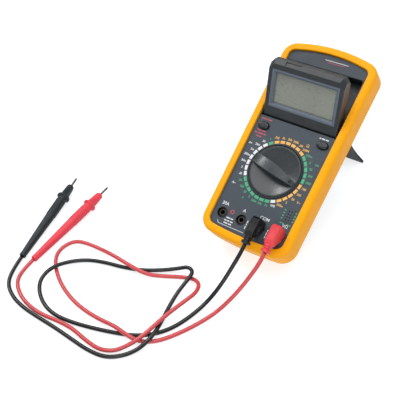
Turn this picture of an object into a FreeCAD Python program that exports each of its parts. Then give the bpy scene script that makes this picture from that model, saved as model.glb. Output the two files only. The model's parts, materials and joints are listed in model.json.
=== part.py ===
import FreeCAD, Part
import math
import os

# Hand-held digital multimeter in a rubber holster, leaning back on its rear stand,
# with the display flipped up and two test leads plugged in. Millimetres, +Z up.
# The table is z = 0. +X is the meter's right-hand side, +Y points behind it.
#
# The meter is drawn flat first: x to its right, y towards the display end, z out of
# the panel, with the knob's centre on the panel face at 0, 0, 0. The last step leans
# it back and stands it on the table. The probes and leads are drawn on the table.

# ---- pose ----
LEAN = 30.0                 # panel's tilt back from level
KNOB_Y = -28.14             # panel centre, after leaning
KNOB_Z = 63.04
DISPLAY_OPEN = 42.0         # display raised from the panel
STAND_OPEN = 81.7           # stand swung out from the back
KNOB_TURN = -14.5           # pointer's direction from +x

# ---- holster and case ----
HALF_BOTTOM = 43.5          # outer half width at the jack end
HALF_TOP = 45.6             # outer half width at the display end
Y_BOTTOM = -67.0            # ends of the straight sides, before rounding
Y_TOP = 113.8
BOTTOM_CROWN = 3.0          # how far the end edges bow out
TOP_CROWN = 7.2
R_BOTTOM = 14.0
R_TOP = 13.0
LIP_TOP = 2.2               # holster lip above the panel
LIP_WIDTH = 7.3
WAIST = -18.0               # below this the sides slope in
BACK = -37.0
SLOPE = 8.0 / 19.0          # inset per millimetre of depth below the waist
WALL = 3.3
CASE_INSET = WALL + 0.1
CASE_TOP = -0.4
CASE_BACK = -33.5
PAD_BACK = -36.5            # raised middle of the case's back
SPLIT = -16.0               # where front and rear case meet
SHELL = 2.2

# ---- panel ----
JACK_PITCH = 19.05
JACK_Y = -49.24
JACK_X = [1.02 + JACK_PITCH * (i - 1.5) for i in range(4)]
JACK_NAMES = ["20a", "a", "com", "v"]
R_BORE = 2.0                # standard 4 mm banana jack
R_TUBE = 2.7
R_COLLAR = 4.8
JACK_MOUTH = -1.0           # metal tube ends just under the insulating sleeve
JACK_END = -22.0
R_KNOB = 22.9
R_WELL = 23.35
R_RING = 24.6
BUTTON_X = 28.85
BUTTON_Y = 34.7
BUTTON_A = 5.3
BUTTON_B = 3.5
SOCKET_X = 29.3
SOCKET_Y = -31.0

# ---- display ----
RECESS_HALF = 36.4
RECESS_Y = (44.0, 99.6)
RECESS_FLOOR = -11.0
HINGE_Y = 48.7
HINGE_Z = -4.3
DISPLAY_HALF = 35.9
DISPLAY_END = 98.9
DISPLAY_BACK = -10.3
WINDOW = (-32.2, 32.2, 56.9, 90.9)

# ---- stand ----
STAND_Y = 75.0
STAND_Z = -35.0
STAND_IN = -33.7            # folded plate, inner and outer face
STAND_OUT = -36.2

# ---- board and battery ----
BOARD_TOP = -14.5
BOARD_BACK = -16.1
BAY = (-25.0, 27.0, -43.6, -15.9)
CASE_SCREWS = [(-28.5, -57.3), (28.5, -57.3), (-27.0, 105.0), (27.0, 105.0)]
DOOR_SCREW = (1.0, -46.0)

# ---- test leads ----
R_LEAD = 1.75
PLUG_ARM_Z = 12.5           # height of the plug's arm above the panel
RELIEF_END = JACK_Y - 19.3
PROBE_LENGTH = 103.5
R_GRIP_REAR = 3.1
R_GUARD = 6.3
GUARD_AT = 75.2

# Probes on the table: where the rear end is, and the heading of the tip from +x.
BLACK_REAR = (-176.5, -178.6)
BLACK_HEADING = 102.9
RED_REAR = (-164.5, -176.1)
RED_HEADING = 89.2

# Lead routes on the table, from the plug's strain relief to the probe's rear end.
BLACK_ROUTE = [
    (10.55, -93.9, 39.5), (10.5, -101.3, 35.2), (8.0, -110.6, 26.5), (5.0, -120.1, 17.0),
    (1.5, -131.1, 8.5), (-2.5, -143.6, 3.0), (-6.5, -159.1, 1.9), (-11.5, -172.6, 1.9),
    (-19.5, -184.1, 1.9), (-32.5, -194.1, 1.9), (-49.5, -200.6, 1.9), (-67.5, -206.1, 1.9),
    (-86.5, -210.6, 1.9), (-104.5, -212.6, 1.9), (-121.0, -209.1, 1.9), (-135.5, -200.1, 2.4),
    (-140.5, -190.6, 6.5), (-140.5, -176.1, 6.5), (-135.0, -161.1, 2.2), (-121.5, -150.6, 1.9),
    (-105.0, -145.1, 1.9), (-89.5, -142.1, 1.9), (-71.5, -136.1, 1.9), (-56.5, -127.1, 1.9),
    (-44.5, -119.6, 3.6), (-36.0, -115.1, 6.4), (-28.0, -118.6, 7.4), (-27.5, -129.1, 7.0),
    (-29.0, -140.6, 3.4), (-27.5, -153.1, 1.9), (-24.0, -167.1, 2.0), (-19.0, -180.6, 5.9),
    (-18.0, -194.1, 6.0), (-22.0, -204.1, 2.6), (-28.5, -214.1, 1.9), (-40.0, -223.1, 1.9),
    (-57.0, -225.1, 1.9), (-76.5, -223.6, 1.9), (-96.5, -222.1, 1.9), (-115.5, -221.6, 1.9),
    (-134.0, -220.6, 1.9), (-150.0, -217.1, 1.9), (-165.0, -209.1, 1.9), (-173.0, -195.1, 2.4),
    (-176.5, -178.8, 3.1),
]
RED_ROUTE = [
    (29.6, -93.9, 39.5), (29.5, -101.3, 35.2), (26.5, -110.6, 27.5), (22.5, -120.1, 19.0),
    (17.5, -130.1, 11.0), (12.0, -141.1, 4.5), (6.0, -153.6, 1.9), (0.0, -167.1, 1.9),
    (-7.0, -179.6, 1.9), (-15.0, -190.1, 1.9), (-26.0, -196.9, 1.9), (-35.5, -199.1, 6.0),
    (-51.5, -197.1, 6.0), (-68.0, -196.6, 2.6), (-86.5, -195.6, 1.9), (-104.5, -192.1, 1.9),
    (-124.5, -184.1, 1.9), (-142.0, -172.1, 1.9), (-151.5, -160.6, 1.9), (-152.5, -148.6, 1.9),
    (-147.0, -138.6, 1.9), (-134.5, -135.6, 1.9), (-119.5, -135.1, 2.0), (-102.5, -137.6, 6.2),
    (-79.5, -140.1, 6.6), (-64.5, -138.1, 2.6), (-51.5, -132.1, 1.9), (-39.0, -125.6, 1.9),
    (-27.5, -121.6, 2.8), (-17.0, -125.1, 6.0), (-12.0, -136.1, 8.8), (-14.0, -148.1, 10.0),
    (-16.5, -159.1, 10.2), (-19.5, -171.6, 9.8), (-22.0, -184.1, 8.4), (-25.0, -196.6, 6.8),
    (-30.5, -205.6, 4.0), (-38.0, -214.6, 1.9), (-49.0, -219.6, 1.9), (-64.0, -218.6, 1.9),
    (-82.5, -215.1, 1.9), (-98.0, -215.6, 1.9), (-113.5, -217.6, 1.9), (-128.5, -217.1, 1.9),
    (-144.0, -213.1, 1.9), (-159.0, -204.1, 1.9), (-164.8, -191.6, 2.4), (-164.5, -176.3, 3.1),
]


# ---- helpers ----
def vec(x, y, z=0.0):
    return FreeCAD.Vector(x, y, z)


X_AXIS = vec(1, 0, 0)
Z_AXIS = vec(0, 0, 1)


def box(x0, x1, y0, y1, z0, z1):
    return Part.makeBox(x1 - x0, y1 - y0, z1 - z0, vec(x0, y0, z0))


def post(x, y, radius, z0, z1):
    return Part.makeCylinder(radius, z1 - z0, vec(x, y, z0))


def rod(x0, x1, y, z, radius):
    return Part.makeCylinder(radius, x1 - x0, vec(x0, y, z), X_AXIS)


def tube(x, y, outer, inner, z0, z1):
    return post(x, y, outer, z0, z1).cut(post(x, y, inner, z0 - 1, z1 + 1))


def join(first, *others):
    return first.fuse(list(others)).removeSplitter()


def less(shape, *tools):
    return shape.cut(list(tools))


def polygon(points):
    return Part.Face(Part.makePolygon(points + [points[0]]))


def turned(shape, centre, axis, degrees):
    result = shape.copy()
    result.rotate(centre, axis, degrees)
    return result


def oval(x, y, half_x, half_y, z0, z1):
    curve = Part.Ellipse(vec(x, y, z0), half_x, half_y)
    return Part.Face(Part.Wire([curve.toShape()])).extrude(vec(0, 0, z1 - z0))


def lathe(profile):
    """Solid of revolution about the x axis from (x, radius) points."""
    points = [vec(profile[0][0], 0)] + [vec(x, r) for x, r in profile] + [vec(profile[-1][0], 0)]
    return polygon(points).revolve(vec(0, 0), X_AXIS, 360)


# ---- plan shape shared by holster and case ----
def outer_plan():
    """Closed outline of the holster: straight sides, bowed ends, rounded corners."""
    left_low = vec(-HALF_BOTTOM, Y_BOTTOM)
    right_low = vec(HALF_BOTTOM, Y_BOTTOM)
    right_top = vec(HALF_TOP, Y_TOP)
    left_top = vec(-HALF_TOP, Y_TOP)
    edges = [
        Part.Arc(left_low, vec(0, Y_BOTTOM - BOTTOM_CROWN), right_low).toShape(),
        Part.LineSegment(right_low, right_top).toShape(),
        Part.Arc(right_top, vec(0, Y_TOP + TOP_CROWN), left_top).toShape(),
        Part.LineSegment(left_top, left_low).toShape(),
    ]
    solid = Part.Face(Part.Wire(edges)).extrude(vec(0, 0, 1))
    upright = [e for e in solid.Edges if e.BoundBox.ZLength > 0.5]
    low = [e for e in upright if e.BoundBox.YMax < 0]
    solid = solid.makeFillet(R_BOTTOM, low)
    upright = [e for e in solid.Edges if e.BoundBox.ZLength > 0.5]
    high = [e for e in upright if e.BoundBox.YMin > 90]
    solid = solid.makeFillet(R_TOP, high)
    bottom = [f for f in solid.Faces if f.BoundBox.ZMax < 0.01]
    return bottom[0].OuterWire


OUTER = outer_plan()


def plan(inset, z):
    wire = OUTER.makeOffset2D(-inset) if inset else OUTER.copy()
    wire.translate(vec(0, 0, z))
    return wire


def prism(inset, z0, z1):
    return Part.Face(plan(inset, z0)).extrude(vec(0, 0, z1 - z0))


def below_waist(inset, z1):
    """The part below the waist, its sides sloping in down to z1."""
    deep = inset + SLOPE * (WAIST - z1)
    return Part.makeLoft([plan(inset, WAIST), plan(deep, z1)], True, True)


# ---- holster and case ----
def holster():
    upper = prism(0, WAIST, LIP_TOP)
    rim = [e for e in upper.Edges if e.BoundBox.ZMin > LIP_TOP - 0.01]
    body = join(upper.makeFillet(4.0, rim), below_waist(0, BACK))
    hollow = join(prism(WALL, WAIST, CASE_TOP + 0.05), below_waist(WALL, CASE_BACK - 0.1))
    body = less(body, hollow, prism(LIP_WIDTH, CASE_TOP - 1, LIP_TOP + 1), prism(14.0, BACK - 1, CASE_BACK))
    inner = [e for e in body.Edges if e.BoundBox.ZMin > LIP_TOP - 0.01 and on_plan(e, LIP_WIDTH)]
    return body.makeFillet(1.0, inner)


def on_plan(edge, inset):
    middle = edge.valueAt((edge.FirstParameter + edge.LastParameter) / 2)
    flat = Part.Vertex(vec(middle.x, middle.y))
    return plan(inset, 0).distToShape(flat)[0] < 0.05


def front_case():
    shell = less(prism(CASE_INSET, SPLIT, CASE_TOP), prism(CASE_INSET + SHELL, SPLIT - 1, CASE_TOP - SHELL))
    recess_block = box(-38, 38, RECESS_Y[0] - 1.6, RECESS_Y[1] + 1.6, RECESS_FLOOR - 1.5, CASE_TOP - 1)
    well_block = post(0, 0, R_WELL + 1.6, -7.6, CASE_TOP - 1)
    bosses = [post(x, y, 3.2, SPLIT, CASE_TOP - 1) for x, y in CASE_SCREWS]
    body = join(shell, recess_block, well_block, *bosses)
    cuts = [
        display_recess(),
        box(-12, 12, 45.0, 47.5, RECESS_FLOOR - 3, RECESS_FLOOR + 1),
        rod(-39, 39, HINGE_Y, HINGE_Z, 1.55),
        post(0, 0, R_WELL, -6.0, 1),
        post(0, 0, 7.05, -9, 1),
        oval(-BUTTON_X, BUTTON_Y, BUTTON_A + 0.25, BUTTON_B + 0.25, -3, 1),
        oval(BUTTON_X, BUTTON_Y, BUTTON_A + 0.25, BUTTON_B + 0.25, -3, 1),
        box(SOCKET_X - 3.6, SOCKET_X + 3.6, SOCKET_Y - 5.85, SOCKET_Y + 5.85, -3, 1),
    ]
    cuts += [post(x, JACK_Y, R_COLLAR + 0.02, -3, 1) for x in JACK_X]
    cuts += [post(x, y, 1.25, SPLIT - 1, CASE_TOP - 3) for x, y in CASE_SCREWS]
    return less(body, *cuts)


def display_recess():
    pocket = box(-RECESS_HALF, RECESS_HALF, RECESS_Y[0], RECESS_Y[1], RECESS_FLOOR, 1)
    corners = [e for e in pocket.Edges if e.BoundBox.ZLength > 5 and e.BoundBox.YMin > 90]
    return pocket.makeFillet(2.5, corners)


def rear_case():
    outer = join(prism(CASE_INSET, WAIST, SPLIT - 0.02), below_waist(CASE_INSET, CASE_BACK))
    inner = join(prism(CASE_INSET + SHELL, WAIST, SPLIT + 1), below_waist(CASE_INSET + SHELL, CASE_BACK + 2))
    body = join(less(outer, inner), prism(14.3, PAD_BACK, CASE_BACK + 0.5))
    x0, x1, y0, y1 = BAY
    tray = box(x0 - 1.2, x1 + 1.2, y0 - 1.2, y1 + 1.2, CASE_BACK, BOARD_BACK - 0.5)
    posts = [post(x, y, 3.2, CASE_BACK, SPLIT - 0.02).common(outer) for x, y in CASE_SCREWS]
    body = join(body, tray, *posts)
    body = less(
        body,
        box(x0, x1, y0, y1, PAD_BACK - 1, 0),
        box(x0 - 1.6, x1 + 1.6, -50.4, -13.2, PAD_BACK - 1, PAD_BACK + 1.7),
        post(DOOR_SCREW[0], DOOR_SCREW[1], 1.35, -36, -30),
        box(-21.0, 21.0, 20.0, 77.6, PAD_BACK - 1, STAND_IN + 0.3),
        box(-28.8, 28.8, -2.0, 23.0, PAD_BACK - 1, STAND_IN + 0.3),
        box(-21.0, 21.0, STAND_Y - 2.3, STAND_Y + 2.6, PAD_BACK - 1, STAND_Z + 2.1),
        rod(-24.1, 24.1, STAND_Y, STAND_Z, 1.02),
    )
    cuts = [post(x, y, 1.6, CASE_BACK - 1, 0) for x, y in CASE_SCREWS]
    cuts += [post(x, y, 2.9, CASE_BACK - 4, CASE_BACK + 5) for x, y in CASE_SCREWS]
    return less(body, *cuts)


def panel_label():
    sheet = prism(LIP_WIDTH + 0.15, CASE_TOP, 0).common(box(-50, 50, -80, RECESS_Y[0] - 0.3, -1, 1))
    holes = [post(0, 0, R_RING + 0.05, -1, 1)]
    holes += [post(x, JACK_Y, R_COLLAR + 0.05, -1, 1) for x in JACK_X]
    holes += [oval(s * BUTTON_X, BUTTON_Y, BUTTON_A + 0.25, BUTTON_B + 0.25, -1, 1) for s in (-1, 1)]
    holes += [box(SOCKET_X - 3.6, SOCKET_X + 3.6, SOCKET_Y - 5.85, SOCKET_Y + 5.85, -1, 1)]
    return less(sheet, *holes)


def head_label():
    return prism(LIP_WIDTH + 0.15, CASE_TOP, 0).common(box(-50, 50, RECESS_Y[1] + 0.4, 130, -1, 1))


def case_screw(x, y):
    head = post(x, y, 2.7, CASE_BACK + 3.0, CASE_BACK + 5.0)
    slot = box(x - 2.0, x + 2.0, y - 0.3, y + 0.3, CASE_BACK + 2.9, CASE_BACK + 4.0)
    cross = box(x - 0.3, x + 0.3, y - 2.0, y + 2.0, CASE_BACK + 2.9, CASE_BACK + 4.0)
    return less(join(head, post(x, y, 1.2, CASE_BACK + 4.9, -6.0)), slot, cross)


# ---- panel hardware ----
def jack_collar(x):
    """Round insulator with a ring-shaped well for a shrouded plug."""
    outer = post(x, JACK_Y, R_COLLAR, -13.0, 0.6)
    rim = [e for e in outer.Edges if e.BoundBox.ZMin > 0.5]
    outer = outer.makeFillet(0.4, rim)
    well = tube(x, JACK_Y, 4.05, 3.3, -11.0, 1.0)
    step = post(x, JACK_Y, 3.4, -0.8, 1.0)
    return less(outer, well, step, post(x, JACK_Y, R_TUBE + 0.02, -14, 1.0))


def jack_contact(x):
    return less(post(x, JACK_Y, R_TUBE, JACK_END, JACK_MOUTH), post(x, JACK_Y, R_BORE, JACK_END + 1.5, 1))


def transistor_socket():
    body = box(SOCKET_X - 3.5, SOCKET_X + 3.5, SOCKET_Y - 5.75, SOCKET_Y + 5.75, -7.0, 0.3)
    holes = []
    for column in (-1.27, 1.27):
        for row in range(4):
            holes.append(post(SOCKET_X + column, SOCKET_Y + 2.54 * (row - 1.5), 0.55, -4.0, 1))
    return less(body, *holes)


def push_button(x):
    cap = oval(x, BUTTON_Y, BUTTON_A, BUTTON_B, -3.4, 2.6)
    top = [e for e in cap.Edges if e.BoundBox.ZMin > 2.5]
    cap = cap.makeFillet(1.7, top)
    flange = oval(x, BUTTON_Y, BUTTON_A + 0.9, BUTTON_B + 0.9, -4.4, -3.0)
    stem = box(x - 1.5, x + 1.5, BUTTON_Y - 1.5, BUTTON_Y + 1.5, -12.0, -4.0)
    return join(cap, flange, stem)


def push_switch(x):
    body = box(x - 4, x + 4, BUTTON_Y - 4, BUTTON_Y + 4, BOARD_TOP, -6.9)
    return less(body, box(x - 1.9, x + 1.9, BUTTON_Y - 1.9, BUTTON_Y + 1.9, BOARD_TOP + 0.1, 0))


# ---- range switch ----
def knob_ring():
    """Rounded rim of the knob's well, standing a little above the panel."""
    ring = tube(0, 0, R_RING, R_WELL, CASE_TOP, 1.2)
    return ring.makeFillet(0.5, [e for e in ring.Edges if e.BoundBox.ZMin > 1])


def range_knob():
    disc = join(post(0, 0, R_KNOB, -5.6, 1.0), post(0, 0, 7.0, -9.4, -5.0), post(0, 0, 5.0, -13.0, -9.0))
    dish_radius = (21.5 ** 2 + 3.2 ** 2) / (2 * 3.2)
    dish = Part.makeSphere(dish_radius, vec(0, 0, 1.0 - 3.2 + dish_radius))
    disc = less(disc, dish.common(post(0, 0, 21.5, -3, 2)))
    side = Part.Face(Part.Wire([
        Part.Arc(vec(-22.2, 0, 3.0), vec(0, 0, 7.5), vec(22.2, 0, 1.6)).toShape(),
        Part.LineSegment(vec(22.2, 0, 1.6), vec(22.2, 0, -4)).toShape(),
        Part.LineSegment(vec(22.2, 0, -4), vec(-22.2, 0, -4)).toShape(),
        Part.LineSegment(vec(-22.2, 0, -4), vec(-22.2, 0, 3.0)).toShape(),
    ])).extrude(vec(0, 14, 0))
    side.translate(vec(0, -7, 0))
    grip_plan = Part.Face(Part.Wire([
        Part.Arc(vec(-22.2, -4.5, -4), vec(-3, -4.6, -4), vec(22.2, -2.0, -4)).toShape(),
        Part.LineSegment(vec(22.2, -2.0, -4), vec(22.2, 2.0, -4)).toShape(),
        Part.Arc(vec(22.2, 2.0, -4), vec(-3, 4.6, -4), vec(-22.2, 4.5, -4)).toShape(),
        Part.LineSegment(vec(-22.2, 4.5, -4), vec(-22.2, -4.5, -4)).toShape(),
    ])).extrude(vec(0, 0, 14))
    grip = side.common(grip_plan).common(post(0, 0, R_KNOB, -4, 10))
    top = [e for e in grip.Edges if e.BoundBox.ZMin > 1.0 and e.BoundBox.XLength > 20]
    grip = grip.makeFillet(0.5, top)
    knob = less(join(disc, grip), tube(18.4, 0, 1.2, 0.7, 1.9, 4))
    return turned(knob, vec(0, 0), Z_AXIS, KNOB_TURN)


def selector_rotor():
    disc = tube(0, 0, 17.0, 5.02, -12.6, -9.6)
    bore = Part.makeCylinder(1.55, 8, vec(10, 0, -11.1), X_AXIS)
    return turned(less(disc, bore), vec(0, 0), Z_AXIS, KNOB_TURN)


def detent_ball():
    return turned(Part.makeSphere(1.5, vec(16.8, 0, -11.1)), vec(0, 0), Z_AXIS, KNOB_TURN)


def detent_spring():
    sleeve = less(rod(10.1, 15.25, 0, -11.1, 1.3), rod(10, 16, 0, -11.1, 0.85))
    return turned(sleeve, vec(0, 0), Z_AXIS, KNOB_TURN)


def selector_wiper():
    leaf = box(-16.0, -7.0, -2.0, 2.0, -12.9, -12.6)
    feet = [box(x, x + 1.0, -2.0, 2.0, -14.2, -12.8) for x in (-15.8, -12.0, -8.2)]
    return turned(join(leaf, *feet), vec(0, 0), Z_AXIS, KNOB_TURN)


def detent_ring():
    ring = tube(0, 0, 20.4, 18.6, -12.6, -7.6)
    notches = []
    for i in range(32):
        angle = math.radians(i * 11.25 + KNOB_TURN)
        notches.append(post(18.6 * math.cos(angle), 18.6 * math.sin(angle), 0.9, -13, -7))
    return less(ring, *notches)


def main_board():
    board = prism(6.4, BOARD_BACK, BOARD_TOP).common(box(-50, 50, -80, 42.2, -20, 0))
    holes = [post(x, JACK_Y, R_TUBE + 0.03, -20, 0) for x in JACK_X]
    holes += [post(x, y, 3.5, -20, 0) for x, y in CASE_SCREWS[:2]]
    return less(board, *holes)


def fuse():
    glass = rod(-19.5, -8.5, 6, -20.0, 2.4)
    return join(glass, rod(-24, -19, 6, -20.0, 2.6), rod(-9, -4, 6, -20.0, 2.6))


def fuse_clip(x):
    return less(box(x - 2.0, x + 2.0, 2.7, 9.3, -21.5, BOARD_BACK), rod(x - 3, x + 3, 6, -20.0, 2.62))


def shunt_bar():
    """Thick resistance wire bent into a bridge, soldered into the board."""
    x = -31.5
    legs = [post(x, y, 0.8, -21.0, BOARD_BACK) for y in (-38.0, -22.0)]
    span = Part.makeCylinder(0.8, 18.4, vec(x, -39.2, -21.5), vec(0, 1, 0))
    return join(span, *legs)


def display_ribbon():
    """Flat cable from the board's edge up into the slot under the display's hinge."""
    return join(box(-9, 9, 38.0, 46.4, -14.5, -14.2), box(-9, 9, 46.1, 46.4, -14.5, RECESS_FLOOR - 0.1))


def battery():
    body = box(-24.6, 21.8, -43.0, -16.5, -34.1, -16.7)
    snaps = [rod(21.8, 24.0, -29.75 + s * 6.35, -25.4, 2.9) for s in (-1, 1)]
    return join(body, *snaps)


def battery_door():
    x0, x1, y0, y1 = BAY
    plate = box(x0 - 1.4, x1 + 1.4, -50.2, -13.4, PAD_BACK, PAD_BACK + 1.6)
    grips = [box(-8, 8, -22 + 1.8 * i, -21.2 + 1.8 * i, PAD_BACK - 0.1, PAD_BACK + 0.5) for i in range(4)]
    return less(plate, post(DOOR_SCREW[0], DOOR_SCREW[1], 1.7, -40, -30),
                Part.makeCone(3.1, 1.5, 1.3, vec(DOOR_SCREW[0], DOOR_SCREW[1], PAD_BACK)), *grips)


def battery_door_screw():
    x, y = DOOR_SCREW
    head = Part.makeCone(2.9, 1.3, 1.3, vec(x, y, PAD_BACK + 0.1))
    slot = box(x - 2.2, x + 2.2, y - 0.3, y + 0.3, PAD_BACK, PAD_BACK + 0.8)
    return less(join(head, post(x, y, 1.3, PAD_BACK + 1.2, -30.5)), slot)


# ---- display module, drawn folded down ----
def display_block():
    """Whole outer shape: a slab whose hinged end is rounded about the hinge axis."""
    half = DISPLAY_HALF
    cut = DISPLAY_END - 4.0
    slab = polygon([
        vec(-half, HINGE_Y, DISPLAY_BACK), vec(half, HINGE_Y, DISPLAY_BACK), vec(half, cut, DISPLAY_BACK),
        vec(half - 3.4, DISPLAY_END, DISPLAY_BACK), vec(3.4 - half, DISPLAY_END, DISPLAY_BACK),
        vec(-half, cut, DISPLAY_BACK),
    ]).extrude(vec(0, 0, -DISPLAY_BACK))
    barrel = rod(-DISPLAY_HALF, DISPLAY_HALF, HINGE_Y, HINGE_Z, -HINGE_Z)
    return join(slab, barrel)


def display_housing():
    body = display_block().common(box(-50, 50, 40, 110, -5.6, 1))
    far = [e for e in body.Edges if e.BoundBox.ZMin > -0.01 and e.BoundBox.YMin > DISPLAY_END - 4.1]
    body = body.makeChamfer(3.4, far)
    sides = [e for e in body.Edges if e.BoundBox.ZMin > -0.01 and e.BoundBox.YLength > 40
             and abs(abs(e.BoundBox.Center.x) - DISPLAY_HALF) < 0.1]
    body = body.makeFillet(0.9, sides)
    x0, x1, y0, y1 = WINDOW
    return less(
        body,
        box(x0, x1, y0, y1, -7, 1),
        box(-33.5, 33.5, 53.0, 95.5, -7, -2.4),
        thumb_notch(),
    )


def thumb_notch():
    """Shallow finger hold cut into the chamfer of the free edge."""
    y = DISPLAY_END - 1.7
    z = -1.7
    cutter = box(-21, -6, y - 1.9, y + 1.9, z - 0.7, z + 2)
    return turned(cutter, vec(0, y, z), X_AXIS, -45)


def display_back():
    body = display_block().common(box(-50, 50, 40, 110, DISPLAY_BACK - 1, -5.62))
    rim = [e for e in body.Edges if e.BoundBox.ZMax < DISPLAY_BACK + 0.01 and e.BoundBox.YMin > 60]
    body = body.makeChamfer(1.2, rim)
    body = less(body, box(-33.5, 33.5, 53.0, 95.5, DISPLAY_BACK + 1.6, 0))
    inner = DISPLAY_HALF - 6
    pins = [rod(inner, 37.8, HINGE_Y, HINGE_Z, 1.5), rod(-37.8, -inner, HINGE_Y, HINGE_Z, 1.5)]
    arms = [hinge_arm(s * 32.9, 3.0, 1.5, -6.5) for s in (-1, 1)]
    return join(body, *pins, *arms)


def hinge_arm(x, half_x, half_y, z0):
    return box(x - half_x, x + half_x, HINGE_Y - half_y, HINGE_Y + half_y, z0, HINGE_Z)


def hinge_pockets():
    """Room inside the front housing for the rear half's hinge arms and pins."""
    arms = [hinge_arm(s * 32.9, 3.02, 1.55, -7) for s in (-1, 1)]
    pins = [rod(a, b, HINGE_Y, HINGE_Z, 1.55) for a, b in ((-40, -29.85), (29.85, 40))]
    return arms + pins


def display_bezel():
    x0, x1, y0, y1 = WINDOW
    outer = box(x0 + 0.05, x1 - 0.05, y0 + 0.05, y1 - 0.05, -1.6, -0.2)
    low = rectangle(28.6, 60.5, 87.3, -1.7)
    high = rectangle(30.6, 58.5, 89.3, -0.1)
    return less(outer, Part.makeLoft([low, high], True, True))


def rectangle(half_x, y0, y1, z):
    corners = [vec(-half_x, y0, z), vec(half_x, y0, z), vec(half_x, y1, z), vec(-half_x, y1, z)]
    return Part.makePolygon(corners + [corners[0]])


# ---- stand, drawn folded against the back ----
def stand_length():
    """Reach from hinge to foot so that the open stand's foot meets the table."""
    lean = math.radians(LEAN)
    swing = math.radians(STAND_OPEN)
    corner = STAND_IN - STAND_Z
    y = STAND_Y - corner * math.sin(swing)
    z = STAND_Z + corner * math.cos(swing)
    drop = y * math.sin(lean) + z * math.cos(lean) + KNOB_Z
    return drop / (math.cos(swing) * math.sin(lean) + math.sin(swing) * math.cos(lean))


def stand():
    foot = STAND_Y - stand_length()
    right = [vec(18.4, STAND_Y), vec(18.6, foot + 40), vec(19.8, foot + 22), vec(22.0, foot + 13.5),
             vec(24.4, foot + 7.5), vec(28.0, foot)]
    curve = Part.BSplineCurve()
    curve.interpolate(right[1:])
    left_curve = Part.BSplineCurve()
    left_curve.interpolate([vec(-p.x, p.y) for p in reversed(right[1:])])
    edges = [
        Part.LineSegment(right[0], right[1]).toShape(),
        curve.toShape(),
        Part.LineSegment(right[-1], vec(-right[-1].x, foot)).toShape(),
        left_curve.toShape(),
        Part.LineSegment(vec(-right[1].x, right[1].y), vec(-right[0].x, STAND_Y)).toShape(),
        Part.LineSegment(vec(-right[0].x, STAND_Y), right[0]).toShape(),
    ]
    plate = Part.Face(Part.Wire(edges)).extrude(vec(0, 0, STAND_IN - STAND_OUT))
    plate.translate(vec(0, 0, STAND_OUT))
    barrel = rod(-18.4, 18.4, STAND_Y, STAND_Z, 1.8)
    body = join(plate, barrel)
    window = box(-9, 9, foot + 14, foot + 34, STAND_OUT - 1, STAND_OUT + 1.0)
    return less(body, window, rod(-20, 20, STAND_Y, STAND_Z, 1.06))


# ---- test leads ----
def plug_body(x):
    """Right-angle plug: a stem into the jack and a flat-sided arm towards the lead."""
    y = JACK_Y
    side = [(y - 4.6, 0.9), (y + 4.2, 0.9), (y + 5.4, 6.0), (y + 5.4, 13.6), (y + 3.2, 16.0),
            (y - 9.0, 16.2), (y - 12.0, 15.4), (y - 12.0, 8.6), (y - 9.6, 7.4)]
    arm = polygon([vec(x - 3.8, py, pz) for py, pz in side]).extrude(vec(7.6, 0, 0))
    long_edges = [e for e in arm.Edges if e.BoundBox.XLength < 0.01 and e.BoundBox.ZMin > 5]
    arm = arm.makeFillet(0.7, long_edges)
    skirt = Part.makeCone(4.3, 3.8, 3.0, vec(x, y, 0.9))
    shroud = tube(x, y, 3.85, 3.45, -10.4, 1.2)
    return join(arm, skirt, shroud)


def plug_pin(x):
    shaft = post(x, JACK_Y, 1.92, -17.4, 0.9)
    return join(shaft, Part.makeCone(1.1, 1.92, 1.6, vec(x, JACK_Y, -19.0)))


def strain_relief(x):
    length = JACK_Y - 12.0 - RELIEF_END
    sleeve = lathe([
        (0, 3.7), (1.6, 3.6), (1.9, 2.9), (2.4, 2.9), (2.6, 3.5), (3.5, 3.5), (3.8, 2.8),
        (4.3, 2.8), (4.7, 3.9), (5.1, 4.2), (6.7, 4.1), (length, 3.3),
    ])
    sleeve = turned(sleeve, vec(0, 0), Z_AXIS, -90)
    sleeve.translate(vec(x, JACK_Y - 12.0, PLUG_ARM_Z))
    return sleeve


def probe_grip():
    return lathe([
        (0, 2.7), (0.4, R_GRIP_REAR), (2.4, R_GRIP_REAR), (2.9, 3.0), (GUARD_AT - 16, 4.65),
        (GUARD_AT - 0.6, 4.75), (GUARD_AT, R_GUARD - 0.5), (GUARD_AT + 0.5, R_GUARD),
        (GUARD_AT + 1.9, R_GUARD), (GUARD_AT + 2.4, R_GUARD - 0.5), (GUARD_AT + 2.8, 4.15),
        (GUARD_AT + 15.6, 2.95), (GUARD_AT + 16.6, 2.5), (GUARD_AT + 17.1, 1.5),
    ]).cut(rod(84.9, 95, 0, 0, 1.02))


def probe_tip():
    return lathe([(85.0, 1.0), (PROBE_LENGTH - 5.0, 1.0), (PROBE_LENGTH - 0.3, 0.18), (PROBE_LENGTH, 0.08)])


def lay_probe(shape, rear, heading):
    """Rest a probe on its rear rim and its guard, the tip a little up."""
    slope = math.degrees(math.atan((R_GUARD - R_GRIP_REAR) / GUARD_AT))
    laid = turned(shape, vec(0, 0), vec(0, 1, 0), -slope)
    laid = turned(laid, vec(0, 0), Z_AXIS, heading)
    laid.translate(vec(rear[0], rear[1], R_GRIP_REAR))
    return laid


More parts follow.
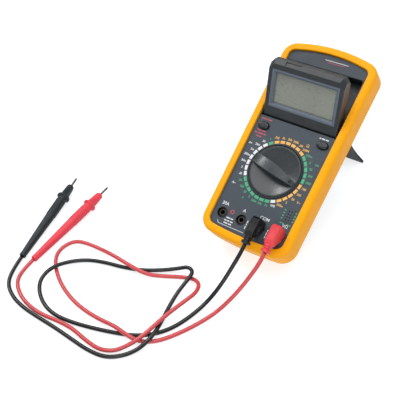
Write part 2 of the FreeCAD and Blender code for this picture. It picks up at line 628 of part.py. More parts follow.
def lead(route, name):
    """Round lead: straight runs joined by tangent arcs, each as large as its runs allow."""
    points = [vec(*p) for p in route]
    edges = []
    start = points[0]
    length = 0.0
    radii = []
    for before, corner, after in zip(points, points[1:], points[2:]):
        into = corner - before
        out = after - corner
        turn = into.getAngle(out)
        reach = 0.45 * min(into.Length, out.Length)
        radius = reach / math.tan(turn / 2)
        into.normalize()
        out.normalize()
        arc_start = corner - into * reach
        arc_end = corner + out * reach
        inward = (out - into).normalize()
        middle = corner + inward * (math.hypot(reach, radius) - radius)
        edges.append(Part.LineSegment(start, arc_start).toShape())
        edges.append(Part.Arc(arc_start, middle, arc_end).toShape())
        length += start.distanceToPoint(arc_start) + radius * turn
        radii.append(radius)
        start = arc_end
    edges.append(Part.LineSegment(start, points[-1]).toShape())
    length += start.distanceToPoint(points[-1])
    path = Part.Wire(edges)
    ring = Part.Wire([Part.Circle(points[0], points[1] - points[0], R_LEAD).toShape()])
    solid = path.makePipeShell([ring], True, False)
    ratio = solid.Volume / (math.pi * R_LEAD ** 2 * length)
    print(f"{name}: length {length:.1f}, volume ratio {ratio:.4f}")
    print("  radii", " ".join(f"{r:.0f}" for r in radii))
    return solid


# ---- assembly ----
def stood(shape):
    """Lean the flat meter back and stand it on the table."""
    result = turned(shape, vec(0, 0), X_AXIS, LEAN)
    result.translate(vec(0, KNOB_Y, KNOB_Z))
    return result


def raised(shape):
    return turned(shape, vec(0, HINGE_Y, HINGE_Z), X_AXIS, DISPLAY_OPEN)


def build():
    flat = {
        "holster": holster(),
        "front_case": front_case(),
        "rear_case": rear_case(),
        "panel_label": panel_label(),
        "head_label": head_label(),
        "knob_ring": knob_ring(),
        "transistor_socket": transistor_socket(),
        "power_button": push_button(-BUTTON_X),
        "power_switch": push_switch(-BUTTON_X),
        "hold_button": push_button(BUTTON_X),
        "hold_switch": push_switch(BUTTON_X),
        "range_knob": range_knob(),
        "selector_rotor": selector_rotor(),
        "selector_wiper": selector_wiper(),
        "detent_ball": detent_ball(),
        "detent_spring": detent_spring(),
        "detent_ring": detent_ring(),
        "main_board": main_board(),
        "meter_chip": box(-21.5, -7.5, 20.0, 34.0, -18.1, BOARD_BACK),
        "buzzer": tube(17.0, 6.0, 11.0, 1.5, -20.1, BOARD_BACK),
        "display_ribbon": display_ribbon(),
        "fuse": fuse(),
        "fuse_clip_left": fuse_clip(-21.5),
        "fuse_clip_right": fuse_clip(-6.5),
        "shunt_bar": shunt_bar(),
        "battery": battery(),
        "battery_snap": box(24.0, 25.8, -40.5, -19.0, -32.0, -18.8),
        "battery_door": battery_door(),
        "battery_door_screw": battery_door_screw(),
        "stand_pin": rod(-24.0, 24.0, STAND_Y, STAND_Z, 1.0),
    }
    flat["case_screws"] = Part.makeCompound([case_screw(x, y) for x, y in CASE_SCREWS])
    for name, x in zip(JACK_NAMES, JACK_X):
        flat[f"jack_collar_{name}"] = jack_collar(x)
        flat[f"jack_contact_{name}"] = jack_contact(x)
    for colour, x in (("black", JACK_X[2]), ("red", JACK_X[3])):
        flat[f"plug_body_{colour}"] = plug_body(x)
        flat[f"plug_pin_{colour}"] = plug_pin(x)
        flat[f"strain_relief_{colour}"] = strain_relief(x)
    flat["stand"] = turned(stand(), vec(0, STAND_Y, STAND_Z), X_AXIS, STAND_OPEN)

    x0, x1, y0, y1 = WINDOW
    display = {
        "display_housing": less(display_housing(), *hinge_pockets()),
        "display_back": display_back(),
        "display_bezel": display_bezel(),
        "display_window": box(-33.0, 33.0, 54.0, 94.0, -3.4, -2.4),
        "display_lcd": box(-31.5, 31.5, 57.0, 91.0, -6.0, -3.4),
        "display_strip": box(-30.0, 30.0, 57.5, 59.5, -7.6, -6.0),
        "display_board": box(-33.0, 33.0, 53.5, 95.0, DISPLAY_BACK + 1.7, -7.6),
    }
    nodes = {name: stood(shape) for name, shape in flat.items()}
    nodes.update({name: stood(raised(shape)) for name, shape in display.items()})
    for colour, rear, heading in (("black", BLACK_REAR, BLACK_HEADING), ("red", RED_REAR, RED_HEADING)):
        nodes[f"probe_grip_{colour}"] = lay_probe(probe_grip(), rear, heading)
        nodes[f"probe_tip_{colour}"] = lay_probe(probe_tip(), rear, heading)
    nodes["test_lead_black"] = lead(BLACK_ROUTE, "test_lead_black")
    nodes["test_lead_red"] = lead(RED_ROUTE, "test_lead_red")
    return nodes


def main():
    os.makedirs("parts", exist_ok=True)
    for name, shape in build().items():
        shape.exportStep(f"parts/{name}.step")


main()
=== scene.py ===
import bpy
import bmesh
import json
import math
from mathutils import Matrix, Vector


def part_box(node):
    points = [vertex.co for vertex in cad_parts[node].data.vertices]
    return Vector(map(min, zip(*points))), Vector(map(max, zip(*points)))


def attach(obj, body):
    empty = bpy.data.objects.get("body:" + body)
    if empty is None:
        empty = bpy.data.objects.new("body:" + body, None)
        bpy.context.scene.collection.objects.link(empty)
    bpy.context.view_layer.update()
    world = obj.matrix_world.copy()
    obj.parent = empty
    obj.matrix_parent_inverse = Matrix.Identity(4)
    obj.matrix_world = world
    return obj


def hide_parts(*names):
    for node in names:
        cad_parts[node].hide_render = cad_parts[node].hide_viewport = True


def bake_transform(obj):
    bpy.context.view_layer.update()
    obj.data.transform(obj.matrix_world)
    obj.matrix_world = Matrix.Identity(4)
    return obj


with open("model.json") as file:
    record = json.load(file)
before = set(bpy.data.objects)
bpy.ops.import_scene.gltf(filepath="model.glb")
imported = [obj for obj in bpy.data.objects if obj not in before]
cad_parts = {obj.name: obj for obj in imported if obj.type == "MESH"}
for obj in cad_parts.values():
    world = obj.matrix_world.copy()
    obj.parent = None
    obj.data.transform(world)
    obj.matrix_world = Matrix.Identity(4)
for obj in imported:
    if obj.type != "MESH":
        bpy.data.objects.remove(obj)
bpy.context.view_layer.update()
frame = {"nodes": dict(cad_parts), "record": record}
record = frame["record"]
nodes = frame["nodes"]
joints = {j["name"]: j for j in record["behaviour"]["joints"]}
MM = 0.001

# ---- the leaning panel's own frame, in millimetres: x right, y up the panel, z out of it ----
RIGHT = Vector((1, 0, 0))
OUT = Vector(joints["knob_turn"]["axis"]).normalized()
UP = OUT.cross(RIGHT)
KNOB = Vector(joints["knob_turn"]["pos_m"])


def frame_at(origin, right, up, out):
    columns = Matrix((right, up, out)).transposed().to_4x4()
    return Matrix.Translation(origin) @ columns @ Matrix.Scale(MM, 4)


PANEL = frame_at(KNOB, RIGHT, UP, OUT)

# ---- camera, placed in the panel's frame ----
SENSOR_WIDTH = 36.0
LENS = 72.55
FAR_CLIP = 50.0
CAMERA_PLACE = Vector((283.9, -139.3, 608.5))
CAMERA_AHEAD = Vector((-0.4794, 0.1312, -0.8677))
CAMERA_RIGHT = Vector((0.8098, 0.4472, -0.3798))
camera_data = bpy.data.cameras.new("camera")
camera = bpy.data.objects.new("camera", camera_data)
bpy.context.collection.objects.link(camera)
camera_data.sensor_width = SENSOR_WIDTH
camera_data.lens = LENS
camera_data.clip_end = FAR_CLIP
forward = (PANEL.to_3x3() @ CAMERA_AHEAD).normalized()
right = (PANEL.to_3x3() @ CAMERA_RIGHT).normalized()
looking = Matrix((right, right.cross(forward), -forward)).transposed().to_4x4()
camera.matrix_world = Matrix.Translation(PANEL @ CAMERA_PLACE) @ looking
bpy.context.scene.camera = camera

# ---- routes of the test leads, millimetres, plug to probe ----
BLACK_ROUTE = [
    (10.55, -93.9, 39.5), (10.5, -101.3, 35.2), (8.0, -110.6, 26.5), (5.0, -120.1, 17.0),
    (1.5, -131.1, 8.5), (-2.5, -143.6, 3.0), (-6.5, -159.1, 1.9), (-11.5, -172.6, 1.9),
    (-19.5, -184.1, 1.9), (-32.5, -194.1, 1.9), (-49.5, -200.6, 1.9), (-67.5, -206.1, 1.9),
    (-86.5, -210.6, 1.9), (-104.5, -212.6, 1.9), (-121.0, -209.1, 1.9), (-135.5, -200.1, 2.4),
    (-140.5, -190.6, 6.5), (-140.5, -176.1, 6.5), (-135.0, -161.1, 2.2), (-121.5, -150.6, 1.9),
    (-105.0, -145.1, 1.9), (-89.5, -142.1, 1.9), (-71.5, -136.1, 1.9), (-56.5, -127.1, 1.9),
    (-44.5, -119.6, 3.6), (-36.0, -115.1, 6.4), (-28.0, -118.6, 7.4), (-27.5, -129.1, 7.0),
    (-29.0, -140.6, 3.4), (-27.5, -153.1, 1.9), (-24.0, -167.1, 2.0), (-19.0, -180.6, 5.9),
    (-18.0, -194.1, 6.0), (-22.0, -204.1, 2.6), (-28.5, -214.1, 1.9), (-40.0, -223.1, 1.9),
    (-57.0, -225.1, 1.9), (-76.5, -223.6, 1.9), (-96.5, -222.1, 1.9), (-115.5, -221.6, 1.9),
    (-134.0, -220.6, 1.9), (-150.0, -217.1, 1.9), (-165.0, -209.1, 1.9), (-173.0, -195.1, 2.4),
    (-176.5, -178.8, 3.1),
]
RED_ROUTE = [
    (29.6, -93.9, 39.5), (29.5, -101.3, 35.2), (26.5, -110.6, 27.5), (22.5, -120.1, 19.0),
    (17.5, -130.1, 11.0), (12.0, -141.1, 4.5), (6.0, -153.6, 1.9), (0.0, -167.1, 1.9),
    (-7.0, -179.6, 1.9), (-15.0, -190.1, 1.9), (-26.0, -196.9, 1.9), (-35.5, -199.1, 6.0),
    (-51.5, -197.1, 6.0), (-68.0, -196.6, 2.6), (-86.5, -195.6, 1.9), (-104.5, -192.1, 1.9),
    (-124.5, -184.1, 1.9), (-142.0, -172.1, 1.9), (-151.5, -160.6, 1.9), (-152.5, -148.6, 1.9),
    (-147.0, -138.6, 1.9), (-134.5, -135.6, 1.9), (-119.5, -135.1, 2.0), (-102.5, -137.6, 6.2),
    (-79.5, -140.1, 6.6), (-64.5, -138.1, 2.6), (-51.5, -132.1, 1.9), (-39.0, -125.6, 1.9),
    (-27.5, -121.6, 2.8), (-17.0, -125.1, 6.0), (-12.0, -136.1, 8.8), (-14.0, -148.1, 10.0),
    (-16.5, -159.1, 10.2), (-19.5, -171.6, 9.8), (-22.0, -184.1, 8.4), (-25.0, -196.6, 6.8),
    (-30.5, -205.6, 4.0), (-38.0, -214.6, 1.9), (-49.0, -219.6, 1.9), (-64.0, -218.6, 1.9),
    (-82.5, -215.1, 1.9), (-98.0, -215.6, 1.9), (-113.5, -217.6, 1.9), (-128.5, -217.1, 1.9),
    (-144.0, -213.1, 1.9), (-159.0, -204.1, 1.9), (-164.8, -191.6, 2.4), (-164.5, -176.3, 3.1),
]
R_LEAD = 1.75
LEAD_SIDES = 20


# ---- helpers ----
def link(name, mesh):
    obj = bpy.data.objects.new(name, mesh)
    bpy.context.collection.objects.link(obj)
    return obj


def mesh_object(name, verts, faces, smooth=False):
    mesh = bpy.data.meshes.new(name)
    mesh.from_pydata([tuple(v) for v in verts], [], faces)
    mesh.polygons.foreach_set("use_smooth", [smooth] * len(mesh.polygons))
    mesh.update()
    return link(name, mesh)


def spline_points(route):
    """Points along the smooth NURBS line that a route's points steer."""
    curve = bpy.data.curves.new("route", "CURVE")
    curve.dimensions = "3D"
    curve.resolution_u = 12
    spline = curve.splines.new("NURBS")
    spline.points.add(len(route) - 1)
    for point, place in zip(spline.points, route):
        point.co = (place[0] * MM, place[1] * MM, place[2] * MM, 1)
    spline.order_u = 3
    spline.use_endpoint_u = True
    holder = link("route", curve)
    mesh = bpy.data.meshes.new_from_object(holder)
    order = [v.co.copy() for v in mesh.vertices]
    bpy.data.objects.remove(holder)
    bpy.data.curves.remove(curve)
    bpy.data.meshes.remove(mesh)
    return order


def sweep(name, path, radius_at, sides):
    """Round tube along a path, its rings carried without twist."""
    verts = []
    faces = []
    normal = Vector((0, 0, 1))
    for i, point in enumerate(path):
        ahead = path[min(i + 1, len(path) - 1)] - path[max(i - 1, 0)]
        tangent = ahead.normalized()
        normal = (normal - tangent * normal.dot(tangent)).normalized()
        side = tangent.cross(normal)
        for k in range(sides):
            angle = 2 * math.pi * k / sides
            outward = normal * math.cos(angle) + side * math.sin(angle)
            verts.append(point + outward * radius_at(i))
    for i in range(len(path) - 1):
        for k in range(sides):
            a = i * sides + k
            b = i * sides + (k + 1) % sides
            faces.append((a, a + sides, b + sides, b))
    faces.append(tuple(range(sides)))
    last = (len(path) - 1) * sides
    faces.append(tuple(last + k for k in reversed(range(sides))))
    return mesh_object(name, verts, faces, smooth=True)


def lathe(name, start, direction, profile, sides=36):
    """Turned piece: profile holds (millimetres along direction, radius)."""
    points = [start + direction * (along * MM) for along, _ in profile]
    radii = [radius * MM for _, radius in profile]
    return sweep(name, points, lambda i: radii[i], sides)


# ---- materials ----
class Graph:
    """A material's node tree, with short calls for the nodes used here."""

    def __init__(self, name):
        self.material = bpy.data.materials.new(name)
        self.material.use_nodes = True
        self.tree = self.material.node_tree
        self.shader = self.tree.nodes["Principled BSDF"]
        self.place = self.add("ShaderNodeTexCoord").outputs["Object"]

    def add(self, kind, **values):
        node = self.tree.nodes.new(kind)
        for key, value in values.items():
            setattr(node, key, value)
        return node

    def join(self, output, node, socket):
        self.tree.links.new(output, node.inputs[socket])

    def noise(self, scale, detail=4.0, rough=0.55, stretch=None):
        node = self.add("ShaderNodeTexNoise")
        node.inputs["Scale"].default_value = scale
        node.inputs["Detail"].default_value = detail
        node.inputs["Roughness"].default_value = rough
        place = self.place
        if stretch:
            mapping = self.add("ShaderNodeMapping")
            mapping.inputs["Scale"].default_value = stretch
            self.join(self.place, mapping, "Vector")
            place = mapping.outputs["Vector"]
        self.join(place, node, "Vector")
        return node.outputs["Fac"]

    def spread(self, output, low, high, start=0.3, end=0.7):
        node = self.add("ShaderNodeMapRange")
        node.inputs["From Min"].default_value = start
        node.inputs["From Max"].default_value = end
        node.inputs["To Min"].default_value = low
        node.inputs["To Max"].default_value = high
        self.join(output, node, "Value")
        return node.outputs["Result"]

    def ramp(self, output, *stops):
        node = self.add("ShaderNodeValToRGB")
        elements = node.color_ramp.elements
        while len(elements) < len(stops):
            elements.new(0.5)
        for element, (position, colour) in zip(elements, stops):
            element.position = position
            element.color = (*colour, 1)
        self.join(output, node, "Fac")
        return node.outputs["Color"]

    def bump(self, output, strength, distance):
        node = self.add("ShaderNodeBump")
        node.inputs["Strength"].default_value = strength
        node.inputs["Distance"].default_value = distance
        self.join(output, node, "Height")
        self.join(node.outputs["Normal"], self.shader, "Normal")

    def set(self, **values):
        for key, value in values.items():
            self.shader.inputs[key.replace("_", " ")].default_value = value


def shade(colour, factor):
    """A colour made lighter or darker."""
    return tuple(min(1.0, c * factor) for c in colour)


def moulded(name, colour, rough, grain=1600, depth=0.00004, mottle=0.12, **values):
    """Moulded plastic or rubber: fine grain, slow colour drift, uneven gloss."""
    g = Graph(name)
    drift = g.noise(45, 5)
    darker = shade(colour, 1 - mottle)
    lighter = shade(colour, 1 + mottle)
    g.join(g.ramp(drift, (0.25, darker), (0.55, colour), (0.8, lighter)), g.shader, "Base Color")
    g.join(g.spread(g.noise(160, 6), rough - 0.07, rough + 0.09), g.shader, "Roughness")
    g.bump(g.noise(grain, 3, 0.6), 0.35, depth)
    g.set(**values)
    return g.material


def metal(name, colour, rough, scale=900):
    """Bare or plated metal: fine wear in colour and gloss."""
    g = Graph(name)
    brushed = g.noise(scale, 5, 0.6, (1, 1, 1))
    g.join(g.ramp(brushed, (0.2, shade(colour, 0.82)), (0.8, shade(colour, 1.1))), g.shader, "Base Color")
    g.join(g.spread(brushed, rough - 0.06, rough + 0.12), g.shader, "Roughness")
    g.bump(brushed, 0.15, 0.00002)
    g.set(Metallic=1.0)
    return g.material


def printed(name, colour):
    """Screen-printed ink: slightly uneven cover."""
    g = Graph(name)
    g.join(g.ramp(g.noise(2200, 4), (0.2, shade(colour, 0.84)), (0.7, colour)), g.shader, "Base Color")
    g.join(g.spread(g.noise(500, 3), 0.42, 0.6), g.shader, "Roughness")
    g.bump(g.noise(3000, 2), 0.2, 0.00002)
    return g.material


def linear(hex_code):
    """Linear colour of a screen colour."""
    values = [int(hex_code[i:i + 2], 16) / 255 for i in (0, 2, 4)]
    return tuple(v / 12.92 if v <= 0.04045 else ((v + 0.055) / 1.055) ** 2.4 for v in values)


M = {
    "holster": moulded("holster_rubber", linear("e29802"), 0.48, 1300, 0.00005, 0.05,
                       Specular_IOR_Level=0.14),
    "case": moulded("case_plastic", linear("1c2024"), 0.46, 1500, 0.00006, 0.1,
                    Specular_IOR_Level=0.35),
    "panel": moulded("panel_sheet", linear("363e46"), 0.5, 2400, 0.00003, 0.05, Specular_IOR_Level=0.3),
    "display": moulded("display_plastic", linear("191e21"), 0.34, 1900, 0.00003, 0.1),
    "bezel": moulded("bezel_plastic", linear("535c68"), 0.34, 1500, 0.00002, 0.08,
                     Specular_IOR_Level=0.4),
    "knob": moulded("knob_plastic", linear("272d30"), 0.26, 1700, 0.00003, 0.08),
    "button": moulded("button_plastic", linear("15181a"), 0.2, 900, 0.00001, 0.12),
    "socket": moulded("socket_plastic", linear("0b0c0d"), 0.28, 1500, 0.00002, 0.15),
    "black": moulded("black_plastic", linear("0a0c0e"), 0.25, 1300, 0.00003, 0.18),
    "red": moulded("red_plastic", linear("cf333e"), 0.4, 1300, 0.00003, 0.07, Specular_IOR_Level=0.55),
    "black_grip": moulded("black_grip", linear("1b2326"), 0.5, 1100, 0.00005, 0.12,
                          Specular_IOR_Level=0.3),
    "red_grip": moulded("red_grip", linear("cc3946"), 0.5, 1100, 0.00005, 0.05, Specular_IOR_Level=0.3),
    "black_lead": moulded("black_lead_sheath", linear("060708"), 0.26, 700, 0.00004, 0.2,
                          Specular_IOR_Level=0.42),
    "red_lead": moulded("red_lead_sheath", linear("b63439"), 0.34, 700, 0.00004, 0.08,
                        Specular_IOR_Level=0.6),
    "inner": moulded("inner_plastic", linear("c9c6bb"), 0.55, 1200, 0.00004, 0.08),
    "board": moulded("board_lacquer", linear("1d5a34"), 0.4, 500, 0.00003, 0.2),
    "battery": moulded("battery_wrap", linear("2a3566"), 0.3, 400, 0.00002, 0.15),
    "steel": metal("screw_steel", (0.55, 0.55, 0.56), 0.3),
    "nickel": metal("nickel_plate", (0.33, 0.3, 0.28), 0.24, 1400),
    "needle": metal("needle_steel", (0.1, 0.085, 0.08), 0.35, 1400),
    "brass": metal("jack_brass", (0.72, 0.52, 0.24), 0.28),
    # brass darkened almost to black: painted shade of the deep jack bores, not the metal's own colour
    "shade_darkened_brass": metal("shade_darkened_brass", (0.06, 0.054, 0.042), 0.4),
    "white_ink": printed("white_ink", linear("cfd0d3")),
    "orange_ink": printed("orange_ink", linear("dba448")),
    "green_ink": printed("green_ink", linear("369a6c")),
    "red_ink": printed("red_ink", linear("b93a4c")),
}


def lcd_material():
    """Switched-off liquid-crystal cell: grey-green, with a slow uneven drift in tone."""
    g = Graph("lcd_cell")
    slow = g.noise(18, 2)
    g.join(g.ramp(slow, (0.2, linear("74786a")), (0.5, linear("7f8373")), (0.85, linear("8b8f7f"))),
           g.shader, "Base Color")
    g.join(g.spread(g.noise(240, 4), 0.24, 0.38), g.shader, "Roughness")
    g.bump(g.noise(2600, 2), 0.1, 0.00001)
    return g.material


def window_material():
    """Clear acrylic with faint haze."""
    g = Graph("clear_acrylic")
    g.join(g.ramp(g.noise(60, 4), (0.3, linear("b9bfbc")), (0.7, linear("ced4d0"))), g.shader, "Base Color")
    g.join(g.spread(g.noise(700, 5), 0.03, 0.12), g.shader, "Roughness")
    g.set(Alpha=0.16, IOR=1.49)
    return g.material


def fuse_glass():
    """Glass tube of the fuse, slightly green."""
    g = Graph("fuse_glass")
    tint = g.ramp(g.noise(300, 3), (0.3, (0.7, 0.75, 0.74)), (0.7, (0.85, 0.9, 0.9)))
    g.join(tint, g.shader, "Base Color")
    g.join(g.spread(g.noise(900, 3), 0.05, 0.15), g.shader, "Roughness")
    g.set(Alpha=0.5)
    return g.material


M["lcd"] = lcd_material()
M["window"] = window_material()
M["fuse"] = fuse_glass()

DRESS = {
    "holster": "holster", "front_case": "case", "rear_case": "case", "battery_door": "case",
    "panel_label": "panel", "head_label": "panel", "knob_ring": "case", "stand": "case",
    "transistor_socket": "panel", "power_button": "button", "hold_button": "button",
    "power_switch": "socket", "hold_switch": "socket", "range_knob": "knob",
    "selector_rotor": "inner", "selector_wiper": "brass", "detent_ball": "steel",
    "detent_spring": "steel", "detent_ring": "inner", "main_board": "board",
    "meter_chip": "socket", "buzzer": "socket", "display_ribbon": "inner", "fuse": "fuse",
    "fuse_clip_left": "brass", "fuse_clip_right": "brass", "shunt_bar": "brass",
    "battery": "battery", "battery_snap": "socket", "battery_door_screw": "steel",
    "case_screws": "steel", "stand_pin": "steel", "display_housing": "display",
    "display_back": "display", "display_bezel": "bezel", "display_window": "window",
    "display_lcd": "lcd", "display_strip": "inner", "display_board": "board",
    "plug_body_black": "black", "plug_body_red": "red", "strain_relief_black": "black",
    "strain_relief_red": "red", "plug_pin_black": "nickel", "plug_pin_red": "nickel",
}
for jack in ("20a", "a", "com", "v"):
    DRESS[f"jack_collar_{jack}"] = "socket"
    # jack contacts take the brass darkened with painted shade of the bores
    DRESS[f"jack_contact_{jack}"] = "shade_darkened_brass"


def paint(obj, key):
    obj.data.materials.clear()
    obj.data.materials.append(M[key])


def soften(obj, width, segments=2):
    """Rounds a moulded piece's sharp edges."""
    bevel = obj.modifiers.new("soft_edges", "BEVEL")
    bevel.width = width * MM
    bevel.segments = segments
    bevel.limit_method = "ANGLE"
    bevel.angle_limit = math.radians(40)
    bevel.harden_normals = False
    bevel.use_clamp_overlap = True


for name, key in DRESS.items():
    paint(nodes[name], key)

# ---- probes: distances along the grip from its rear end, millimetres ----
GUARD_AT = 75.2
NOSE_AT = 92.4
GRIP_RIBS = 9
RIBS_AT = 52.0
RIB_PITCH = 2.2
NEEDLE_START = 85.0
NEEDLE_END = 103.5


def centre(box):
    return (Vector(box[0]) + Vector(box[1])) / 2


def grip_profile():
    """Rear bead, tapered handle, finger ribs, guard and nose."""
    profile = [
        (0, 2.5), (0.4, 3.0), (0.8, 3.1), (2.2, 3.1), (2.6, 3.0), (2.9, 2.9), (3.6, 2.95),
        (RIBS_AT - 2.0, 4.4),
    ]
    for i in range(GRIP_RIBS):
        along = RIBS_AT + RIB_PITCH * i
        profile += [(along, 4.45), (along + 0.3, 4.7), (along + 1.2, 4.75), (along + 1.5, 4.5)]
    return profile + [
        (GUARD_AT - 0.6, 4.7), (GUARD_AT - 0.1, 5.4), (GUARD_AT + 0.3, 6.1), (GUARD_AT + 0.8, 6.3),
        (GUARD_AT + 1.7, 6.3), (GUARD_AT + 2.2, 6.0), (GUARD_AT + 2.5, 5.2), (GUARD_AT + 2.8, 4.4),
        (NOSE_AT - 3.2, 3.6), (NOSE_AT - 1.6, 3.4), (NOSE_AT - 0.6, 2.8), (NOSE_AT, 1.8), (NOSE_AT, 1.05),
    ]


NEEDLE = [(NEEDLE_START, 1.0), (NEEDLE_END - 1.8, 1.0), (NEEDLE_END - 0.5, 0.55), (NEEDLE_END, 0.2)]
for colour, route in (("black", BLACK_ROUTE), ("red", RED_ROUTE)):
    rear = Vector(route[-1]) * MM
    needle_middle = centre(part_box(f"probe_tip_{colour}"))
    heading = (needle_middle - rear).normalized()
    rear = needle_middle - heading * ((NEEDLE_START + NEEDLE_END) / 2 * MM)
    grip = lathe(f"{colour}_probe_grip", rear, heading, grip_profile(), 48)
    paint(grip, f"{colour}_grip")
    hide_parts(f"probe_grip_{colour}")
    needle = lathe(f"{colour}_probe_needle", rear, heading, NEEDLE, 24)
    paint(needle, "needle")
    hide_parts(f"probe_tip_{colour}")
    for piece in (grip, needle):
        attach(piece, "meter")

# ---- test leads ----
paths = {"black": spline_points(BLACK_ROUTE), "red": spline_points(RED_ROUTE)}
for colour, path in paths.items():
    lead = sweep(f"{colour}_test_lead", path, lambda i: R_LEAD * MM, LEAD_SIDES)
    paint(lead, f"{colour}_lead")
    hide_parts(f"test_lead_{colour}")
    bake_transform(lead)


# ---- moulded frame and pad on each plug, in panel millimetres ----
def ring_block(name, outer, inner, z0, z1):
    """Flat frame between two outlines that have the same number of corners."""
    count = len(outer)
    rows = [(outer, z0), (outer, z1), (inner, z1), (inner, z0)]
    verts = [(x, y, z) for line, z in rows for x, y in line]
    faces = []
    for row in range(4):
        for k in range(count):
            n = (k + 1) % count
            up = (row + 1) % 4 * count
            faces.append((row * count + k, row * count + n, up + n, up + k))
    piece = mesh_object(name, verts, faces)
    piece.data.transform(PANEL)
    soften(piece, 0.12)
    return piece


def clipped(x0, x1, y0, y1, cut):
    """Rectangle with its corners cut off."""
    return [(x0 + cut, y0), (x1 - cut, y0), (x1, y0 + cut), (x1, y1 - cut),
            (x1 - cut, y1), (x0 + cut, y1), (x0, y1 - cut), (x0, y0 + cut)]


ARM_TOP = 16.0    # the plug's flat top face
SUNK = 0.3        # how far the raised pieces are set into it
jack_mount = next(m for m in record["mounts"] if m["name"] == "jack_a")
JACK_Y = (PANEL.inverted() @ Vector(jack_mount["pos_m"])).y
for colour in ("black", "red"):
    x = centre(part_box(f"plug_pin_{colour}")).x / MM
    y = JACK_Y
    rim = clipped(x - 3.2, x + 3.2, y - 8.7, y + 3.0, 0.6)
    inside = clipped(x - 2.4, x + 2.4, y - 7.9, y + 2.2, 0.4)
    frame_piece = ring_block(f"{colour}_plug_frame", rim, inside, ARM_TOP - SUNK, ARM_TOP + 0.5)
    rim = clipped(x - 1.5, x + 1.5, y - 2.6, y + 1.3, 0.3)
    inside = clipped(x - 0.9, x + 0.9, y - 2.0, y + 0.7, 0.2)
    pad = ring_block(f"{colour}_plug_pad", rim, inside, ARM_TOP - SUNK, ARM_TOP + 0.4)
    for piece in (frame_piece, pad):
        paint(piece, colour)
        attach(piece, f"{colour}_plug")


# ---- printing on the panel, in panel millimetres ----
INK = 0.05            # half the thickness of an ink shape, which straddles the panel's face
STROKE_GAIN = 0.05    # how far ink spreads past the outline of a letter


class Print:
    """Thin ink shapes of one colour, gathered into one piece."""

    def __init__(self, colour):
        self.colour = colour
        self.mesh = bmesh.new()

    def block(self, corners):
        low = [self.mesh.verts.new((x, y, -INK)) for x, y in corners]
        high = [self.mesh.verts.new((x, y, INK)) for x, y in corners]
        self.mesh.faces.new(high)
        self.mesh.faces.new(list(reversed(low)))
        for i in range(len(corners)):
            k = (i + 1) % len(corners)
            self.mesh.faces.new((low[i], low[k], high[k], high[i]))

    def arc(self, x, y, inner, outer, start, end, steps=4):
        turns = [math.radians(start + (end - start) * i / steps) for i in range(steps + 1)]
        near = [(x + inner * math.cos(t), y + inner * math.sin(t)) for t in turns]
        far = [(x + outer * math.cos(t), y + outer * math.sin(t)) for t in turns]
        self.block(near + far[::-1] if end < start else far + near[::-1])

    def line(self, start, end, width):
        a = Vector(start)
        b = Vector(end)
        side = Vector((a.y - b.y, b.x - a.x)).normalized() * width / 2
        self.block([tuple(a - side), tuple(b - side), tuple(b + side), tuple(a + side)])

    def dashes(self, x, y, lengths, height=1.0, gap=0.7, upright=False):
        """A row of short strokes in place of small lettering."""
        place = -(sum(lengths) + gap * (len(lengths) - 1)) / 2
        for length in lengths:
            if upright:
                self.line((x, y + place), (x, y + place + length), height)
            else:
                self.line((x + place, y), (x + place + length, y), height)
            place += length + gap

    def text(self, x, y, words, size):
        font = bpy.data.curves.new("words", "FONT")
        font.body = words
        font.size = size
        font.extrude = INK
        font.align_x = "CENTER"
        font.align_y = "CENTER"
        font.resolution_u = 3
        font.offset = STROKE_GAIN
        holder = link("words", font)
        shape = bpy.data.meshes.new_from_object(holder)
        shape.transform(Matrix.Translation((x, y, 0)))
        self.mesh.from_mesh(shape)
        bpy.data.objects.remove(holder)
        bpy.data.curves.remove(font)
        bpy.data.meshes.remove(shape)

    def lay(self):
        """Puts the gathered shapes on the panel as one object."""
        mesh = bpy.data.meshes.new(f"{self.colour}_print")
        self.mesh.to_mesh(mesh)
        self.mesh.free()
        mesh.transform(PANEL)
        obj = link(f"{self.colour}_print", mesh)
        paint(obj, f"{self.colour}_ink")
        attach(obj, "meter")


ink = {colour: Print(colour) for colour in ("white", "orange", "green", "red")}
TICK_STEP = 11.25
TICK_HALF = 4.4
TICK_INNER = 25.5
TICK_OUTER = 28.0
LABEL_REACH = 30.4
LABEL_SIZE = 2.7
FIRST_TICK = 90.6 + 3 * TICK_STEP
RANGES = [
    ("green", "+"),
    ("orange", "200 2k 20k 200k 2M 200M"),
    ("green", "200m 2 20 200 1000"),
    ("orange", "700 200 20 2 200m"),
    ("white", "hFE"),
    ("green", "2n 20n 200n 2 20 200 2m"),
    ("white", "20 2 20m 200m 2m 20m 20"),
]
turn = FIRST_TICK
for colour, labels in RANGES:
    for words in labels.split():
        across = math.cos(math.radians(turn))
        reach = LABEL_REACH + 0.35 * len(words) * abs(across)
        ink[colour].arc(0, 0, TICK_INNER, TICK_OUTER, turn - TICK_HALF, turn + TICK_HALF)
        ink[colour].text(reach * across, reach * math.sin(math.radians(turn)), words, LABEL_SIZE)
        turn -= TICK_STEP
for colour, words, x, y, size in [
    ("orange", "\u03a9", 16.9, 30.3, 3.6), ("green", "V=", 32.2, 17.0, 3.0),
    ("orange", "V~", 31.9, -18.0, 3.0), ("green", "F", -16.2, -31.4, 3.0),
    ("white", "A~", -30.3, -21.6, 3.0), ("white", "A=", -33.2, 16.4, 2.6),
    ("white", "20A", -28.1, -41.2, 3.9), ("white", "A", -9.0, -41.2, 3.9),
    ("white", "COM", 11.0, -41.0, 3.9), ("white", "V\u03a9", 30.2, -40.6, 3.9),
]:
    ink[colour].text(x, y, words, size)
ink["red"].arc(-18.8, -46.0, 1.3, 1.9, 0, 359.9, 24)
ink["red"].dashes(-28.9, 41.0, [3.4, 1.6, 3.8])
ink["red"].dashes(-28.9, 30.0, [4.2, 3.6])
ink["red"].dashes(-28.9, 27.2, [2.6, 5.0, 1.8])
ink["red"].dashes(-28.9, 24.4, [2.2, 2.2])
ink["white"].dashes(27.6, 40.4, [1.6, 3.0, 2.6])
ink["white"].dashes(-18.5, -52.0, [3.6, 2.4])
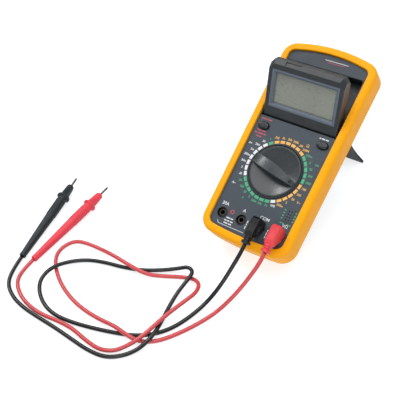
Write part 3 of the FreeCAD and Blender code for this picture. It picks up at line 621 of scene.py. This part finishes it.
ink["white"].dashes(-18.5, -54.6, [2.2, 2.2, 2.6], 0.9)
ink["white"].dashes(-18.5, -56.9, [4.0, 2.8], 0.9)
ink["white"].line((-28.6, -56.6), (-26.8, -59.0), 0.4)
ink["white"].line((-26.8, -59.0), (-1.2, -59.0), 0.4)
ink["white"].dashes(-2.0, -51.6, [2.6, 1.4, 2.2], 0.8, upright=True)
ink["white"].dashes(18.0, -52.4, [2.0, 2.8, 1.6], 0.8, upright=True)
for row in range(4):
    for x in (24.1, 34.4):
        ink["green"].dashes(x, -27.2 - 2.54 * row, [1.5], 0.9)
for x in (26.0, 32.6):
    ink["green"].dashes(x, -38.6, [1.6, 1.2], 0.9)
ink["white"].line((-4.0, 108.6), (18.0, 108.6), 0.5)
ink["red"].line((-1.0, 106.8), (15.0, 106.8), 0.4)
for sheet in ink.values():
    sheet.lay()

# ---- soft edges on moulded pieces ----
EDGES = {
    "display_housing": 0.3, "display_back": 0.4, "display_bezel": 0.15, "range_knob": 0.3,
    "stand": 0.4, "plug_body_black": 0.25, "plug_body_red": 0.25, "knob_ring": 0.3,
    "panel_label": 0.12, "head_label": 0.12, "battery_door": 0.3,
}
for name, width in EDGES.items():
    soften(nodes[name], width)

# ---- floor and light ----
FLOOR_HALF = 6
FLOOR_TOP = -0.0002
floor_corners = [
    (x * FLOOR_HALF, y * FLOOR_HALF, FLOOR_TOP) for x, y in ((-1, -1), (1, -1), (1, 1), (-1, 1))
]
floor = mesh_object("floor", floor_corners, [(0, 1, 2, 3)])
g = Graph("pale_floor")
tone = g.ramp(g.noise(3, 2), (0.3, (0.31, 0.34, 0.375)), (0.7, (0.33, 0.36, 0.395)))
g.join(tone, g.shader, "Base Color")
g.set(Roughness=0.85, Specular_IOR_Level=0.0, Emission_Color=(1, 1, 1, 1), Emission_Strength=0.74)
floor.data.materials.append(g.material)

world = bpy.data.worlds.new("studio")
bpy.context.scene.world = world
world.use_nodes = True
sky = world.node_tree
background = sky.nodes["Background"]
direction = sky.nodes.new("ShaderNodeTexCoord")
split = sky.nodes.new("ShaderNodeSeparateXYZ")
height = sky.nodes.new("ShaderNodeMapRange")
height.inputs["From Min"].default_value = 0.1
height.inputs["From Max"].default_value = 0.8
height.inputs["To Min"].default_value = 0.35
height.inputs["To Max"].default_value = 0.75
sky.links.new(direction.outputs["Generated"], split.inputs["Vector"])
sky.links.new(split.outputs["Z"], height.inputs["Value"])
sky.links.new(height.outputs["Result"], background.inputs["Strength"])
background.inputs["Color"].default_value = (1, 1, 1, 1)
bpy.context.scene.view_settings.view_transform = "Standard"


def softbox(name, place, target, size, watts):
    """Rectangular light at a place, facing a target."""
    light = bpy.data.lights.new(name, "AREA")
    light.shape = "RECTANGLE"
    light.size, light.size_y = size
    light.energy = watts
    obj = bpy.data.objects.new(name, light)
    bpy.context.collection.objects.link(obj)
    obj.location = place
    obj.rotation_euler = (Vector(target) - Vector(place)).to_track_quat("-Z", "Y").to_euler()


softbox("overhead", (0.1, 0.2, 1.9), (-0.05, -0.05, 0), (2.2, 2.2), 33)
softbox("key", (-1.2, 0.1, 1.3), (0, 0, 0.05), (0.5, 0.6), 9)
softbox("fill", (0.5, -1.3, 0.5), (0, 0, 0.05), (0.8, 0.5), 5)
